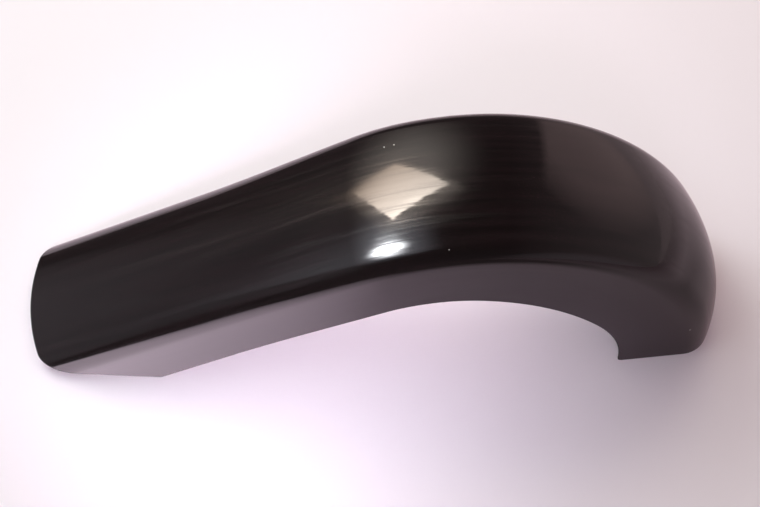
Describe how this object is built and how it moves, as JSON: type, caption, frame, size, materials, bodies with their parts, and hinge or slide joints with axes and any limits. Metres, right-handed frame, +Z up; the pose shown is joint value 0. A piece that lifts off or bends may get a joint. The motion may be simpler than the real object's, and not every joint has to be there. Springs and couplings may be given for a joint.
{
  "type": "motorcycle rear fender",
  "caption": "One-piece moulded rear wheel mudguard: a crowned channel shell with side skirts, straight at the front and bent round the wheel at the back.",
  "frame": {"origin": "on the bench, under the middle of the fender's length and width; the wheel axle's line is 137.1 mm behind it at bench height", "axes": "+X to the tail, +Y to the motorcycle's right, +Z up as the fender lies on a bench on its two front corners and its tail rim"},
  "size_m": [0.9641, 0.2346, 0.345],
  "materials": {
    "black_gelcoat": "polished black gelcoat over glass-fibre laminate"
  },
  "bodies": {
    "root": {"fender_shell": "black_gelcoat"}
  },
  "joints": []
}
